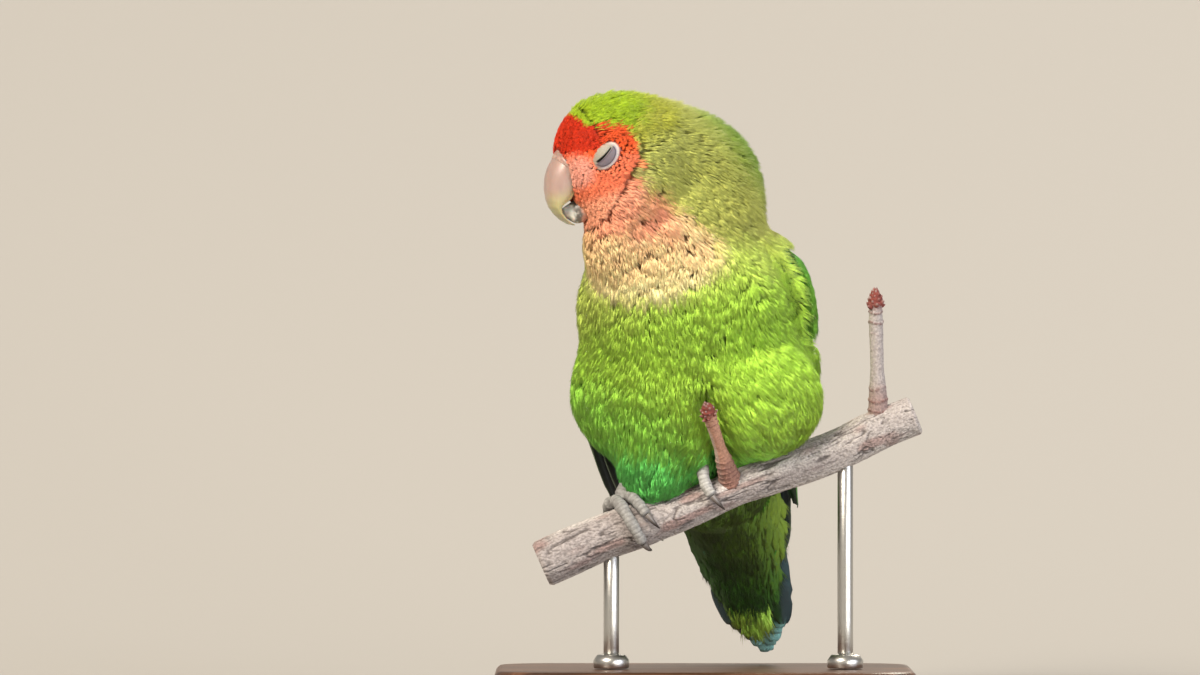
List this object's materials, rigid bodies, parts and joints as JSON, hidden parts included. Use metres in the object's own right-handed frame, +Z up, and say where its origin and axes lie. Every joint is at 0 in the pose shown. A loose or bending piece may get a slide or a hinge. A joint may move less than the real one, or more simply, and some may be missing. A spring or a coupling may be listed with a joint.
{
  "type": "peach-faced lovebird on a perch and display stand",
  "caption": "Life-size still model of a peach-faced lovebird asleep on a short length of branch, held up by a plain display stand.",
  "frame": {"origin": "middle of the stand base's underside, on the floor", "axes": "+Z up; -Y towards the side the bird is seen from; +X towards the right as seen from there, the bird's own left"},
  "size_m": [0.1099, 0.078, 0.155],
  "materials": {
    "head_feathers": "soft overlapping small feathers, rosy red to green",
    "body_feathers": "soft overlapping body feathers, green",
    "wing_feathers": "smooth flight feathers with a slight sheen",
    "tail_feathers": "smooth tail feathers with a slight sheen",
    "bill_horn": "pale horn, softly polished",
    "cere_skin": "thin pale skin",
    "eyeball": "dark wet eye",
    "lid_skin": "fine grey-white skin",
    "foot_skin": "grey scaly skin",
    "claw_horn": "dark horn",
    "bark": "grey-brown fissured bark",
    "stand_wood": "oiled dark wood",
    "stand_steel": "brushed"
  },
  "bodies": {
    "root": {"cere": "cere_skin", "claw_left_1": "claw_horn", "claw_left_2": "claw_horn", "claw_left_3": "claw_horn", "claw_left_4": "claw_horn", "claw_right_1": "claw_horn", "claw_right_2": "claw_horn", "claw_right_3": "claw_horn", "claw_right_4": "claw_horn", "eye_left": "eyeball", "eye_right": "eyeball", "head": "head_feathers", "leg_left": "foot_skin", "leg_right": "foot_skin", "lids_left": "lid_skin", "lids_right": "lid_skin", "lower_bill": "bill_horn", "neck": "body_feathers", "perch": "bark", "stand_base": "stand_wood", "stand_collar_high": "stand_steel", "stand_collar_low": "stand_steel", "stand_rod_high": "stand_steel", "stand_rod_low": "stand_steel", "tail": "tail_feathers", "toe_left_1": "foot_skin", "toe_left_2": "foot_skin", "toe_left_3": "foot_skin", "toe_left_4": "foot_skin", "toe_right_1": "foot_skin", "toe_right_2": "foot_skin", "toe_right_3": "foot_skin", "toe_right_4": "foot_skin", "torso": "body_feathers", "upper_bill": "bill_horn", "wing_left": "wing_feathers", "wing_right": "wing_feathers"}
  },
  "joints": []
}
